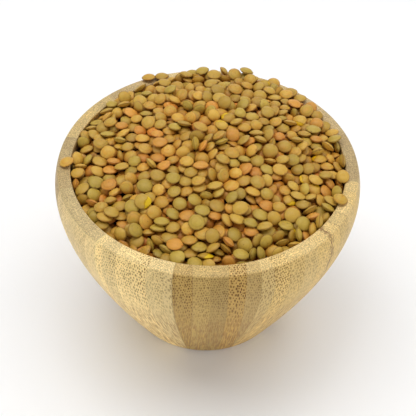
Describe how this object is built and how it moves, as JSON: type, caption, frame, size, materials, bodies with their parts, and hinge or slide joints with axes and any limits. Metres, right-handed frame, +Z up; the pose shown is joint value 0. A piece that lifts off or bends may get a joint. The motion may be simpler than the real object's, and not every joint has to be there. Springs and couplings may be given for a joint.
{
  "type": "bowl of dry lentils",
  "caption": "Small turned bowl of laminated bamboo, heaped above its rim with dry whole lentils.",
  "frame": {"origin": "centre of the bowl's flat base, on the surface it stands on", "axes": "+Z up along the bowl's turning axis, -Y towards the front of the heap, where it is lowest, +X to the right as seen from the front"},
  "size_m": [0.124, 0.124, 0.0938],
  "materials": {
    "bamboo": "laminated bamboo, turned and sanded, matte with a slight sheen",
    "seed_coat": null
  },
  "bodies": {
    "root": {"bowl": "bamboo", "lentils": "seed_coat"}
  },
  "joints": []
}
